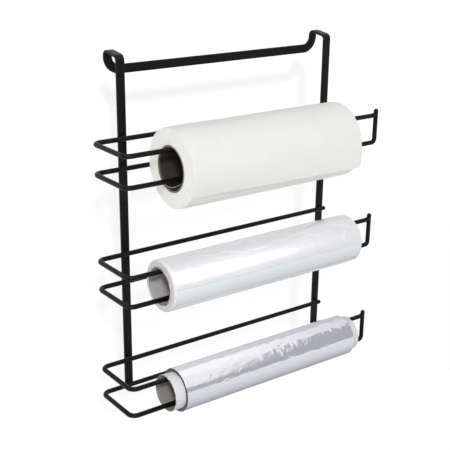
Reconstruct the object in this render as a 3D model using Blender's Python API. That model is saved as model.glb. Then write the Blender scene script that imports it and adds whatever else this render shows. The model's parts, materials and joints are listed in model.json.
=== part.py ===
"""Roll holder that hooks over a cabinet door and carries kitchen paper, cling film and foil.

One flat steel strip is bent into two uprights, two hooks and a bar behind the door. Six
round wires are welded to the front of the uprights in three pairs. Each pair is an open
arm that a roll slides onto, and the lower wire of a pair turns up into an end stop.

Metres, +Z up. +X runs along the rolls towards the end stops and +Y runs into the door.
The origin is midway between the uprights, on the door's front face and its top edge.
"""

from math import atan2, cos, hypot, pi, radians, sin

import bmesh
import bpy
from mathutils import Matrix, Vector

# Strip frame
STRIP_WIDTH = 0.0095
STRIP_THICKNESS = 0.0030
STRIP_EDGE_RADIUS = 0.0006
UPRIGHT_SPACING = 0.275
DOOR_THICKNESS = 0.022
HOOK_BEND_RADIUS = 0.0050
HOOK_RISE = 0.0020
BACK_LEG_LENGTH = 0.0012
BAR_BEND_RADIUS = 0.0135
STRIP_TAIL = 0.0023

# Wires
WIRE_DIAMETER = 0.0052
CORNER_BEND_RADIUS = 0.0080
STOP_BEND_RADIUS = 0.0043
TOP_TIER_DROP = 0.0831
TIER_PITCH = 0.1260
ARM_REACH = 0.0658
SIDE_RUN_OUTSET = 0.0358
END_STOP_OUTSET = 0.0203
RAIL_OVERHANG = 0.0012
END_STOP_RISE = 0.0075
TIER_NAMES = ("top", "middle", "bottom")

# Fits
SEAT_GAP = 0.0003
BORE_CLEARANCE = 0.0012

# Cores: cardboard tubes. Paper and its tube are sawn to length together, while the film
# and the foil are wound a little short of their tubes' ends.
PAPER_LENGTH = 0.220
PAPER_BORE = 0.0454
PAPER_CORE_WALL = 0.0012
FILM_CORE_LENGTH = 0.2605
FILM_CORE_SHOWS = 0.0010
FILM_BORE = 0.0384
FILM_CORE_WALL = 0.0012
FOIL_CORE_LENGTH = 0.264
FOIL_CORE_SHOWS_LEFT = 0.0125
FOIL_CORE_SHOWS_RIGHT = 0.0107
FOIL_BORE = 0.0388
FOIL_CORE_WALL = 0.0012
CORE_EDGE = 0.0003

# Windings
PAPER_WOUND_DEPTH = 0.0153
FILM_WOUND_DEPTH = 0.0073
FILM_RIM_RADIUS = 0.0024
FOIL_WOUND_DEPTH = 0.0038
FOIL_RIM_RADIUS = 0.0006

# Where each roll's middle lies along its arm, from the midpoint of the uprights
PAPER_OFFSET = -0.0120
FILM_OFFSET = -0.0068
FOIL_OFFSET = 0.0010

# Loose outer turn of the paper. Angles are about the roll's axis, from the front (-Y)
# and growing downwards.
PAPER_SHEET = 0.0006
LOOSE_RISE = 0.0022
FLARE_LEFT = 0.0008
FLARE_RIGHT = 0.0052
LIFT_ANGLE = radians(-205)
FREE_ANGLE = radians(-140)
FLARE_ANGLE = radians(-15)
EDGE_ANGLE = radians(30)
FLARE_STRETCHES = 5

# Facets
HOOK_STEPS = 6
EDGEWISE_STEPS = 10
CORNER_STEPS = 8
WIRE_SIDES = 12
ROLL_SIDES = 64
PAPER_SIDES = 60
TIP_SHARES = ((0.26, 0.965), (0.50, 0.866), (0.78, 0.625), (0.95, 0.30))

BLACK_COAT = (0x1C, 0x1C, 0x1D)
PAPER_WHITE = (0xE4, 0xE5, 0xDF)
PAPER_CORE = (0x6B, 0x58, 0x48)
FILM_WHITE = (0xDE, 0xDD, 0xE2)
FILM_CORE = (0x8F, 0x82, 0x78)
FOIL_SILVER = (0xC9, 0xCA, 0xCE)
FOIL_CORE = (0xC6, 0xC2, 0xBC)

X_AXIS = Vector((1, 0, 0))
Y_AXIS = Vector((0, 1, 0))
Z_AXIS = Vector((0, 0, 1))
QUARTER_TURN = pi / 2


def linear(value):
    """One sRGB byte as a linear value."""
    share = value / 255
    return share / 12.92 if share <= 0.04045 else ((share + 0.055) / 1.055) ** 2.4


def add_material(name, colour, roughness, metallic):
    material = bpy.data.materials.new(name)
    material.use_nodes = True
    shader = material.node_tree.nodes["Principled BSDF"]
    shader.inputs["Base Color"].default_value = (*map(linear, colour), 1)
    shader.inputs["Roughness"].default_value = roughness
    shader.inputs["Metallic"].default_value = metallic
    return material


def add_object(name, bm, look, at=(0, 0, 0), parent=None):
    """Turn a finished bmesh into a named object with its own material."""
    bmesh.ops.recalc_face_normals(bm, faces=bm.faces[:])
    mesh = bpy.data.meshes.new(name)
    bm.to_mesh(mesh)
    bm.free()
    mesh.shade_smooth()
    mesh.set_sharp_from_angle(angle=radians(40))
    mesh.materials.append(add_material(name, *look))
    piece = bpy.data.objects.new(name, mesh)
    piece.location = at
    piece.parent = parent
    bpy.context.scene.collection.objects.link(piece)
    return piece


def add_axle(name, at):
    """An empty on a roll's axis. The roll's pieces hang on it and turn with it."""
    empty = bpy.data.objects.new(name, None)
    empty.empty_display_size = WIRE_DIAMETER
    empty.location = at
    bpy.context.scene.collection.objects.link(empty)
    return empty


def region(faces):
    """Faces with their edges and points, so that drawing them on leaves no inner wall."""
    edges = {edge for face in faces for edge in face.edges}
    points = {point for face in faces for point in face.verts}
    return [*faces, *edges, *points]


class Bar:
    """A bar of one section, drawn on from its end face by straight pulls and bends."""

    def __init__(self, section, at, heading):
        self.bm = bmesh.new()
        self.at = Vector(at)
        self.heading = heading.copy()
        self.end = self.bm.faces.new([self.bm.verts.new(self.at + p) for p in section])

    def pull(self, length):
        """Draw the bar straight on."""
        drawn = bmesh.ops.extrude_face_region(self.bm, geom=region([self.end]))["geom"]
        points = [part for part in drawn if isinstance(part, bmesh.types.BMVert)]
        step = self.heading * length
        bmesh.ops.translate(self.bm, verts=points, vec=step)
        self.end = next(part for part in drawn if isinstance(part, bmesh.types.BMFace))
        self.at += step

    def pull_to(self, axis, place):
        """Draw the bar straight on until it reaches a place along a world axis."""
        self.pull(abs(place - self.at.dot(axis)))

    def bend(self, axis, radius, steps, angle=QUARTER_TURN):
        """Bend the bar about an axis by an angle, at this centreline radius."""
        centre = self.at + axis.cross(self.heading) * radius
        turned = bmesh.ops.spin(
            self.bm,
            geom=region([self.end]),
            cent=centre,
            axis=axis,
            angle=angle,
            steps=steps,
            use_duplicate=False,
        )["geom_last"]
        self.end = next(part for part in turned if isinstance(part, bmesh.types.BMFace))
        turn = Matrix.Rotation(angle, 3, axis)
        self.at = centre + turn @ (self.at - centre)
        self.heading = turn @ self.heading

    def round_tip(self, length):
        """Close the bar's end with a dome of this length."""
        base = self.at.copy()
        size = 1
        for along_share, width_share in TIP_SHARES:
            self.pull(length * along_share - (self.at - base).length)
            about = Matrix.Translation(-self.at)
            grow = width_share / size
            bmesh.ops.scale(self.bm, verts=self.end.verts[:], vec=(grow,) * 3, space=about)
            size = width_share


def strip_section():
    """The strip's section in the X-Y plane: a flat bar with rounded edges."""
    points = []
    half_x = STRIP_WIDTH / 2 - STRIP_EDGE_RADIUS
    half_y = STRIP_THICKNESS / 2 - STRIP_EDGE_RADIUS
    for quarter, (side_x, side_y) in enumerate(((1, 1), (-1, 1), (-1, -1), (1, -1))):
        for step in range(3):
            angle = QUARTER_TURN * (quarter + step / 2)
            x = side_x * half_x + STRIP_EDGE_RADIUS * cos(angle)
            y = side_y * half_y + STRIP_EDGE_RADIUS * sin(angle)
            points.append(Vector((x, y, 0)))
    return points


def wire_section():
    """The wire's round section in the Y-Z plane, with a point facing the strip."""
    radius = WIRE_DIAMETER / 2
    turns = [2 * pi * step / WIRE_SIDES for step in range(WIRE_SIDES)]
    return [Vector((0, radius * cos(turn), radius * sin(turn))) for turn in turns]


def make_strip_frame(foot_z):
    """One strip: up, over the door, down, across behind it and back the same way.

    The hooks' tops rise to the rear, and the middle of their undersides is at height 0.
    """
    half_spacing = UPRIGHT_SPACING / 2
    crown = STRIP_THICKNESS / 2
    over = DOOR_THICKNESS + STRIP_THICKNESS - 2 * HOOK_BEND_RADIUS
    slope = atan2(HOOK_RISE, over)
    front_z = (crown - HOOK_BEND_RADIUS) * cos(slope) - HOOK_RISE / 2
    bar = Bar(strip_section(), (-half_spacing, -crown, foot_z), Z_AXIS)
    bar.pull_to(Z_AXIS, front_z)
    bar.bend(-X_AXIS, HOOK_BEND_RADIUS, HOOK_STEPS, QUARTER_TURN - slope)
    bar.pull(hypot(over, HOOK_RISE))
    bar.bend(-X_AXIS, HOOK_BEND_RADIUS, HOOK_STEPS, QUARTER_TURN + slope)
    bar.pull(BACK_LEG_LENGTH)
    bar.bend(-Y_AXIS, BAR_BEND_RADIUS, EDGEWISE_STEPS)
    bar.pull_to(X_AXIS, half_spacing - BAR_BEND_RADIUS)
    bar.bend(-Y_AXIS, BAR_BEND_RADIUS, EDGEWISE_STEPS)
    bar.pull(BACK_LEG_LENGTH)
    bar.bend(X_AXIS, HOOK_BEND_RADIUS, HOOK_STEPS, QUARTER_TURN + slope)
    bar.pull(hypot(over, HOOK_RISE))
    bar.bend(X_AXIS, HOOK_BEND_RADIUS, HOOK_STEPS, QUARTER_TURN - slope)
    bar.pull_to(Z_AXIS, foot_z)
    return bar.bm


def start_wire(rail_y):
    """The welded rail of a wire, its side run and the corner into its arm."""
    tip = WIRE_DIAMETER / 2
    left_x = -UPRIGHT_SPACING / 2 - SIDE_RUN_OUTSET
    rail_end = (UPRIGHT_SPACING + STRIP_WIDTH) / 2 + RAIL_OVERHANG - tip
    # The rail starts with its rounded end, so the dome is drawn first and turned round.
    wire = Bar(wire_section(), (rail_end, rail_y, 0), X_AXIS)
    wire.round_tip(tip)
    wire.at = Vector((rail_end, rail_y, 0))
    wire.heading = -X_AXIS
    wire.end = min(wire.bm.faces, key=lambda face: face.calc_center_median().x)
    wire.pull_to(X_AXIS, left_x + CORNER_BEND_RADIUS)
    wire.bend(Z_AXIS, CORNER_BEND_RADIUS, CORNER_STEPS)
    wire.pull_to(Y_AXIS, -STRIP_THICKNESS - ARM_REACH + CORNER_BEND_RADIUS)
    wire.bend(Z_AXIS, CORNER_BEND_RADIUS, CORNER_STEPS)
    return wire


def make_upper_wire(rail_y, stop_x):
    """The arm that the roll hangs on. Its end butts against the end stop."""
    wire = start_wire(rail_y)
    wire.pull_to(X_AXIS, stop_x - WIRE_DIAMETER / 2 - SEAT_GAP)
    return wire.bm


def make_lower_wire(rail_y, stop_x, pair_drop):
    """The arm below it, which turns up at its end as the end stop."""
    wire = start_wire(rail_y)
    wire.pull_to(X_AXIS, stop_x - STOP_BEND_RADIUS)
    wire.bend(-Y_AXIS, STOP_BEND_RADIUS, CORNER_STEPS)
    tip = WIRE_DIAMETER / 2
    wire.pull_to(Z_AXIS, pair_drop + END_STOP_RISE - tip)
    wire.round_tip(tip)
    return wire.bm


def turn_ring(profile, sides):
    """Turn a closed profile of (x, radius) points a full turn about the X axis."""
    bm = bmesh.new()
    points = [bm.verts.new((x, 0, radius)) for x, radius in profile]
    edges = [bm.edges.new((a, b)) for a, b in zip(points, points[1:] + points[:1])]
    bmesh.ops.spin(
        bm,
        geom=points + edges,
        cent=(0, 0, 0),
        axis=X_AXIS,
        angle=2 * pi,
        steps=sides,
        use_merge=True,
        use_duplicate=False,
    )
    return bm


def make_core(length, bore, wall):
    """A cardboard tube with slightly broken edges."""
    half = length / 2
    inner = bore / 2
    outer = inner + wall
    profile = (
        (-half, inner + CORE_EDGE),
        (-half, outer - CORE_EDGE),
        (-half + CORE_EDGE, outer),
        (half - CORE_EDGE, outer),
        (half, outer - CORE_EDGE),
        (half, inner + CORE_EDGE),
        (half - CORE_EDGE, inner),
        (-half + CORE_EDGE, inner),
    )
    return turn_ring(profile, ROLL_SIDES)


def make_winding(length, inner, depth, rim):
    """A tight winding round its core, with rims as round as its film's edges stack."""
    half = length / 2
    outer = inner + depth
    right_rim = []
    for step in range(4):
        angle = QUARTER_TURN * step / 3
        x = half - rim + rim * sin(angle)
        right_rim.append((x, outer - rim + rim * cos(angle)))
    left_rim = [(-x, radius) for x, radius in reversed(right_rim)]
    profile = left_rim + right_rim + [(half, inner), (-half, inner)]
    return turn_ring(profile, ROLL_SIDES)


def smooth_step(share):
    return share * share * (3 - 2 * share)


def loose_lift(angle):
    """How far the outside of the loose turn stands off the tight roll at an angle."""
    share = (angle - LIFT_ANGLE) / (FREE_ANGLE - LIFT_ANGLE)
    return (LOOSE_RISE + PAPER_SHEET) * smooth_step(min(share, 1))


def roll_point(x, radius, angle):
    return Vector((x, -radius * cos(angle), -radius * sin(angle)))


def arc_angles(start, stop):
    """Angles from start to stop, both included, in steps like the roll's facets."""
    steps = max(1, round(abs(stop - start) * PAPER_SIDES / (2 * pi)))
    return [start + (stop - start) * step / steps for step in range(steps + 1)]


def make_paper(length, inner, depth):
    """The paper roll with its outer turn sprung loose and its free edge flared."""
    outer = inner + depth
    half = length / 2
    # The slit under the loose turn starts where the lift first exceeds the sheet.
    rise = arc_angles(LIFT_ANGLE, EDGE_ANGLE)
    slit = [angle for angle in rise if loose_lift(angle) > 1.4 * PAPER_SHEET]
    root_angle = rise[rise.index(slit[0]) - 1]
    outline = [roll_point(-half, outer + loose_lift(a), a) for a in rise]
    for angle in reversed(slit):
        radius = outer + loose_lift(angle) - PAPER_SHEET
        outline.append(roll_point(-half, radius, angle))
    body = arc_angles(root_angle, LIFT_ANGLE + 2 * pi)[:-1]
    outline += [roll_point(-half, outer, angle) for angle in body]
    bore = [roll_point(-half, inner, angle) for angle in arc_angles(0, 2 * pi)[:-1]]

    bm = bmesh.new()
    edges = []
    for loop in (outline, bore):
        ring = [bm.verts.new(point) for point in loop]
        edges += [bm.edges.new((a, b)) for a, b in zip(ring, ring[1:] + ring[:1])]
    bmesh.ops.triangle_fill(bm, edges=edges, use_beauty=True)
    end = bm.faces[:]
    for _ in range(FLARE_STRETCHES):
        drawn = bmesh.ops.extrude_face_region(bm, geom=region(end))["geom"]
        points = [part for part in drawn if isinstance(part, bmesh.types.BMVert)]
        end = [part for part in drawn if isinstance(part, bmesh.types.BMFace)]
        bmesh.ops.translate(bm, verts=points, vec=X_AXIS * (length / FLARE_STRETCHES))

    # The sheet's free edge springs outwards, more at its right end than at its left.
    slope = (FLARE_RIGHT - FLARE_LEFT) / length
    for point in bm.verts:
        x, y, z = point.co
        radius = Vector((y, z)).length
        angle = atan2(-z, -y)
        share = (angle - FLARE_ANGLE) / (EDGE_ANGLE - FLARE_ANGLE)
        if radius > outer + PAPER_SHEET / 2 and 0 < share < 1.01:
            flare = (FLARE_LEFT + slope * (x + half)) * share * share
            point.co = roll_point(x, radius + flare, angle)
    return bm


def build():
    for old in list(bpy.data.objects):
        bpy.data.objects.remove(old, do_unlink=True)

    wire_radius = WIRE_DIAMETER / 2
    # Both wires of a pair pass through the narrowest core.
    narrowest = min(PAPER_BORE, FILM_BORE, FOIL_BORE)
    pair_drop = narrowest - WIRE_DIAMETER - SEAT_GAP - BORE_CLEARANCE
    rail_y = -STRIP_THICKNESS - SEAT_GAP - wire_radius
    arm_y = -STRIP_THICKNESS - ARM_REACH
    stop_x = UPRIGHT_SPACING / 2 + END_STOP_OUTSET
    upper_z = [-TOP_TIER_DROP - TIER_PITCH * tier for tier in range(len(TIER_NAMES))]
    lower_z = [z - pair_drop for z in upper_z]

    coat = (BLACK_COAT, 0.42, 0)
    add_object("strip_frame", make_strip_frame(lower_z[-1] - STRIP_TAIL), coat)
    for tier, name in enumerate(TIER_NAMES):
        upper = make_upper_wire(rail_y, stop_x)
        lower = make_lower_wire(rail_y, stop_x, pair_drop)
        add_object(f"wire_{name}_upper", upper, coat, (0, 0, upper_z[tier]))
        add_object(f"wire_{name}_lower", lower, coat, (0, 0, lower_z[tier]))

    # Each roll hangs with the top of its bore on the upper wire of its pair.
    axles = []
    rolls = (
        ("paper_roll_axis", PAPER_OFFSET, PAPER_BORE),
        ("film_roll_axis", FILM_OFFSET, FILM_BORE),
        ("foil_roll_axis", FOIL_OFFSET, FOIL_BORE),
    )
    for z, (name, offset, bore) in zip(upper_z, rolls):
        axle_z = z + wire_radius + SEAT_GAP - bore / 2
        axles.append(add_axle(name, (offset, arm_y, axle_z)))
    paper_axle, film_axle, foil_axle = axles

    paper_core = make_core(PAPER_LENGTH, PAPER_BORE, PAPER_CORE_WALL)
    film_core = make_core(FILM_CORE_LENGTH, FILM_BORE, FILM_CORE_WALL)
    foil_core = make_core(FOIL_CORE_LENGTH, FOIL_BORE, FOIL_CORE_WALL)
    add_object("paper_core", paper_core, (PAPER_CORE, 0.9, 0), parent=paper_axle)
    add_object("film_core", film_core, (FILM_CORE, 0.85, 0), parent=film_axle)
    add_object("foil_core", foil_core, (FOIL_CORE, 0.85, 0), parent=foil_axle)

    paper_inner = PAPER_BORE / 2 + PAPER_CORE_WALL + SEAT_GAP
    film_inner = FILM_BORE / 2 + FILM_CORE_WALL + SEAT_GAP
    foil_inner = FOIL_BORE / 2 + FOIL_CORE_WALL + SEAT_GAP
    film_length = FILM_CORE_LENGTH - 2 * FILM_CORE_SHOWS
    foil_length = FOIL_CORE_LENGTH - FOIL_CORE_SHOWS_LEFT - FOIL_CORE_SHOWS_RIGHT
    foil_shift = (FOIL_CORE_SHOWS_LEFT - FOIL_CORE_SHOWS_RIGHT) / 2
    paper = make_paper(PAPER_LENGTH, paper_inner, PAPER_WOUND_DEPTH)
    film = make_winding(film_length, film_inner, FILM_WOUND_DEPTH, FILM_RIM_RADIUS)
    foil = make_winding(foil_length, foil_inner, FOIL_WOUND_DEPTH, FOIL_RIM_RADIUS)
    add_object("paper_winding", paper, (PAPER_WHITE, 0.95, 0), parent=paper_axle)
    add_object("film_winding", film, (FILM_WHITE, 0.22, 0), parent=film_axle)
    at = (foil_shift, 0, 0)
    add_object("foil_winding", foil, (FOIL_SILVER, 0.3, 0.9), at, foil_axle)


build()
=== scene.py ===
"""Looks of a roll holder that hooks over a cabinet door, with its three household rolls."""

import json
from functools import partial
from math import atan2, ceil, cos, exp, hypot, pi, radians, sin

import bmesh
import bpy
from mathutils import Matrix, Vector, noise

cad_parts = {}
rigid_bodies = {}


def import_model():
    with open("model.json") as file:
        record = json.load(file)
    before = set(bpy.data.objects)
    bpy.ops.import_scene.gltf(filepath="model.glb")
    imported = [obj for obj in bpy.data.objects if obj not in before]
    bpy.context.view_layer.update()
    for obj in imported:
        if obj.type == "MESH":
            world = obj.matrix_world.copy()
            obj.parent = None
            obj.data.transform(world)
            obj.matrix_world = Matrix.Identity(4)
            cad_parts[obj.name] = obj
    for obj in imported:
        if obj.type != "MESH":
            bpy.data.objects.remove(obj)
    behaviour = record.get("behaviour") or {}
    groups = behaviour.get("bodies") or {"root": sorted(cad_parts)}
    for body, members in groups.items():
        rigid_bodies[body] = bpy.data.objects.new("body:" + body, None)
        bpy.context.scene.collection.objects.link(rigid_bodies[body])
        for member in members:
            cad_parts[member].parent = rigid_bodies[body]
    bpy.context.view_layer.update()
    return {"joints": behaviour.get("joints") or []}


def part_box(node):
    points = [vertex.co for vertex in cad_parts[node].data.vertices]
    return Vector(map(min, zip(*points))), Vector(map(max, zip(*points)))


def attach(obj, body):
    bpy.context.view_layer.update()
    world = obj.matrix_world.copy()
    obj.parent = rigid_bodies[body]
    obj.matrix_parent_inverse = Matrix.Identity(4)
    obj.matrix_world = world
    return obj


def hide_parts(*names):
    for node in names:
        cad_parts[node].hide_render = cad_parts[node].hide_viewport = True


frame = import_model()

# Vector noise starts from this seed, so that the foil has the same facets in each run.
noise.seed_set(2)

X_AXIS = Vector((1, 0, 0))
Y_AXIS = Vector((0, 1, 0))
Z_AXIS = Vector((0, 0, 1))
QUARTER_TURN = pi / 2
MM = 0.001

# Sizes of the steel frame
STRIP_LOW, STRIP_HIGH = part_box("strip_frame")
STRIP_WIDTH = 9.5 * MM
STRIP_THICKNESS = 3.0 * MM
STRIP_EDGE_RADIUS = 0.6 * MM
STRIP_END_ROUND = 0.35 * MM
HOOK_BEND_RADIUS = 5.0 * MM
HOOK_RISE = 2.0 * MM
BACK_LEG_LENGTH = 1.2 * MM
BAR_BEND_RADIUS = 13.5 * MM
LEFT_X = STRIP_LOW.x + STRIP_WIDTH / 2
RIGHT_X = STRIP_HIGH.x - STRIP_WIDTH / 2
CROWN = STRIP_THICKNESS / 2
FRONT_Y = STRIP_LOW.y + CROWN

WIRE_RADIUS = 2.6 * MM
RAIL_OVERHANG = 1.2 * MM
CORNER_BEND_RADIUS = 8.0 * MM
STOP_BEND_RADIUS = 4.3 * MM
SEAT_GAP = 0.3 * MM

# Sizes of the rolls
TUBE_WALL = 1.2 * MM
# Noise that closes round a roll is read on a cylinder of this radius.
NOISE_RADIUS = 24 * MM


class Roll:
    """Places and sizes of a roll, from its solids and its hinge."""

    def __init__(self, name, outer=None):
        joint = next(j for j in frame["joints"] if j["name"] == f"{name}_roll_spin")
        self.name = name
        self.body = f"{name}_roll"
        self.axis = Vector(joint["pos_m"])
        self.core_low, self.core_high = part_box(f"{name}_core")
        self.core_radius = (self.core_high.z - self.core_low.z) / 2
        self.low, self.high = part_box(f"{name}_winding")
        self.half = (self.high.x - self.low.x) / 2
        self.inner = self.core_radius + SEAT_GAP
        self.outer = outer or (self.high.z - self.low.z) / 2


# The kitchen paper's tight turns are smaller than its solid, which has the loose turn too.
paper = Roll("paper", 39.5 * MM)
film = Roll("film")
foil = Roll("foil")


# Materials
def linear(hex_colour):
    """An sRGB hex colour as linear RGBA."""
    channels = []
    for place in (1, 3, 5):
        share = int(hex_colour[place:place + 2], 16) / 255
        low = share <= 0.04045
        channels.append(share / 12.92 if low else ((share + 0.055) / 1.055) ** 2.4)
    return (*channels, 1.0)


def fill_inputs(tree, node, inputs):
    """Link a node's inputs from sockets, and set the others to values or hex colours."""
    for name, value in inputs.items():
        if isinstance(value, bpy.types.NodeSocket):
            tree.links.new(value, node.inputs[name])
        else:
            value = linear(value) if isinstance(value, str) else value
            node.inputs[name].default_value = value


def add_node(tree, kind, inputs=None, output=0, **settings):
    """Add a node with its settings and links, and give back one of its outputs."""
    node = tree.nodes.new(f"ShaderNode{kind}")
    for name, value in settings.items():
        setattr(node, name, value)
    fill_inputs(tree, node, inputs or {})
    return node.outputs[output]


# A Mix node takes a share at 0 and, with these, two colours at 6 and 7. A Map Range node
# takes a value at 0, its range from 1 to 2, and the range to give at 3 and 4.
COLOURS = {"output": 2, "data_type": "RGBA"}
ON_A_SHEET = {"noise_dimensions": "2D"}


def new_material(name):
    """A new material, and add_node for its node tree."""
    material = bpy.data.materials.new(name)
    material.use_nodes = True
    return material, partial(add_node, material.node_tree)


def finish_material(material, bumps, **shader_inputs):
    """Set and link the Principled shader's inputs, and lay the bumps over each other.

    A bump is a height, a strength and a depth in mm.
    """
    tree = material.node_tree
    inputs = {name.replace("_", " "): value for name, value in shader_inputs.items()}
    below = {}
    for height, strength, depth in bumps:
        values = {"Height": height, "Strength": strength, "Distance": depth * MM}
        below = {"Normal": add_node(tree, "Bump", {**values, **below})}
    fill_inputs(tree, tree.nodes["Principled BSDF"], {**inputs, **below})
    return material


def satin_powder_coat():
    """Black polyester powder on steel: a satin skin with faint orange peel and grit."""
    material, add = new_material("satin_black_powder_coat")
    place = add("TexCoord", output="Object")
    # Orange peel waves are 1.6 mm apart, the powder's grit 0.35 mm and clouds of tone 45 mm.
    peel, grit, cloud = (
        add("TexNoise", {"Vector": place, "Scale": 1 / (size * MM), "Detail": detail})
        for size, detail in ((1.6, 2), (0.35, 1), (45, 2))
    )
    tone = add("Mix", {0: cloud, 6: "#0d0d0d", 7: "#131313"}, **COLOURS)
    sheen = add("MapRange", {0: grit, 3: 0.34, 4: 0.50})
    return finish_material(
        material, [(peel, 0.6, 0.05), (grit, 0.35, 0.02)],
        Base_Color=tone, Roughness=sheen, IOR=1.5, Specular_IOR_Level=0.145,
    )


def embossed_tissue():
    """Two-ply kitchen paper: matt white pulp with small dots pressed in diagonal rows."""
    material, add = new_material("embossed_kitchen_tissue")
    wrap = add("UVMap", uv_map="wrap")
    turned = add("Mapping", {"Vector": wrap, "Rotation": (0, 0, radians(38))})
    # Dots stand 2.8 mm apart, as the embossing roller leaves them.
    dots = add(
        "TexVoronoi", {"Vector": turned, "Scale": 1 / (2.8 * MM), "Randomness": 0.2},
        voronoi_dimensions="2D",
    )
    pressed = add("MapRange", {0: dots, 1: 0.18, 2: 0.42})
    # Pulp flecks are about 0.7 mm, the creping runs across the sheet every 0.5 mm, and the
    # tone drifts every 30 mm.
    across = add("Mapping", {"Vector": wrap, "Scale": (0.12, 1, 1)})
    pulp, creping, cloud = (
        add(
            "TexNoise", {"Vector": place, "Scale": 1 / (size * MM), "Detail": detail},
            **ON_A_SHEET,
        )
        for place, size, detail in ((wrap, 0.7, 3), (across, 0.5, 1), (wrap, 30, 2))
    )
    base = add("Mix", {0: cloud, 6: "#e4e4e1", 7: "#eaeae7"}, **COLOURS)
    # Painted shade: the pressed dots are a little darker, as the shade in their hollows.
    shade = add("Mix", {0: pressed, 6: "#e2e3dd", 7: "#ffffff"}, **COLOURS)
    tone = add("Mix", {0: 0.18, 6: base, 7: shade}, blend_type="MULTIPLY", **COLOURS)
    return finish_material(
        material, [(pressed, 0.3, 0.10), (pulp, 0.5, 0.10), (creping, 0.3, 0.06)],
        Base_Color=tone, Roughness=0.93, IOR=1.45, Specular_IOR_Level=0.2,
        Sheen_Weight=0.12, Sheen_Roughness=0.6,
    )


def layered_end(name, roll, pitch, low_hex, high_hex, depth, **shader_inputs):
    """The end of a winding, where the edges of its turns show as fine rings.

    The rings are pitch mm apart and their bump is depth mm deep.
    """
    material, add = new_material(name)
    place = add("TexCoord", output="Object")
    # Rings follow the distance from the roll's axis, which runs along X.
    centre = (0, -roll.axis.y, -roll.axis.z)
    centred = add("Mapping", {"Vector": place, "Location": centre, "Scale": (0, 1, 1)})
    radius = add("VectorMath", {0: centred}, "Value", operation="LENGTH")
    rings = add(
        "TexNoise", {"W": radius, "Scale": 1 / (pitch * MM), "Roughness": 0.7},
        noise_dimensions="1D",
    )
    torn = add("TexNoise", {"Vector": place, "Scale": 1 / (1.1 * MM), "Detail": 3})
    mixed = add("Mix", {0: 0.4, 2: rings, 3: torn})
    sharpened = add("MapRange", {0: mixed, 1: 0.3, 2: 0.7})
    tone = add("Mix", {0: sharpened, 6: low_hex, 7: high_hex}, **COLOURS)
    return finish_material(
        material, [(mixed, 0.7, depth)], Base_Color=tone, **shader_inputs
    )


def wound_board(name, roll, low_hex, high_hex, seam_hex, seam_pitch, seam_width, end_hex):
    """Spiral-wound cardboard: matt fibres, and the edge of its inner ply as a helix.

    The helix climbs seam_pitch mm a turn and is seam_width mm wide. The board is paler
    within 3 mm of the tube's ends.
    """
    material, add = new_material(name)
    wrap = add("UVMap", uv_map="wrap")
    parts = add("SeparateXYZ", {0: wrap}).node.outputs
    # U is metres along the tube and V counts turns, so their sum climbs as a helix.
    climb = add(
        "Math", {0: parts["X"], 1: 1 / (seam_pitch * MM), 2: parts["Y"]},
        operation="MULTIPLY_ADD",
    )
    cycle = add("Math", {0: climb}, operation="FRACT")
    step = add("MapRange", {0: cycle, 2: seam_width / seam_pitch, 3: 1, 4: 0})
    place = add("TexCoord", output="Object")
    stretched = add("Mapping", {"Vector": place, "Scale": (0.2, 1, 1)})
    fibres = add("TexNoise", {"Vector": stretched, "Scale": 1 / (0.9 * MM), "Detail": 4})
    base = add("Mix", {0: fibres, 6: low_hex, 7: high_hex}, **COLOURS)
    seamed = add("Mix", {0: step, 6: base, 7: seam_hex}, **COLOURS)
    start, stop = roll.core_low.x, roll.core_high.x
    half = (stop - start) / 2
    from_middle = add("Math", {0: parts["X"], 1: (start + stop) / 2}, operation="SUBTRACT")
    aside = add("Math", {0: from_middle}, operation="ABSOLUTE")
    paler_ends = add("MapRange", {0: aside, 1: half - 3 * MM, 2: half, 4: 0.35})
    tone = add("Mix", {0: paler_ends, 6: seamed, 7: end_hex}, **COLOURS)
    return finish_material(
        material, [(fibres, 0.5, 0.06), (cycle, 0.8, 0.25)],
        Base_Color=tone, Roughness=0.88, Specular_IOR_Level=0.25,
    )


def cut_board(name, low_hex, high_hex):
    """The sawn or torn plies of a cardboard tube, with a few loose fibres."""
    material, add = new_material(name)
    place = add("TexCoord", output="Object")
    fibres = add("TexNoise", {"Vector": place, "Scale": 1 / (0.4 * MM), "Detail": 3})
    tone = add("Mix", {0: fibres, 6: low_hex, 7: high_hex}, **COLOURS)
    return finish_material(
        material, [(fibres, 0.6, 0.08)],
        Base_Color=tone, Roughness=0.9, Specular_IOR_Level=0.25,
    )


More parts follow.
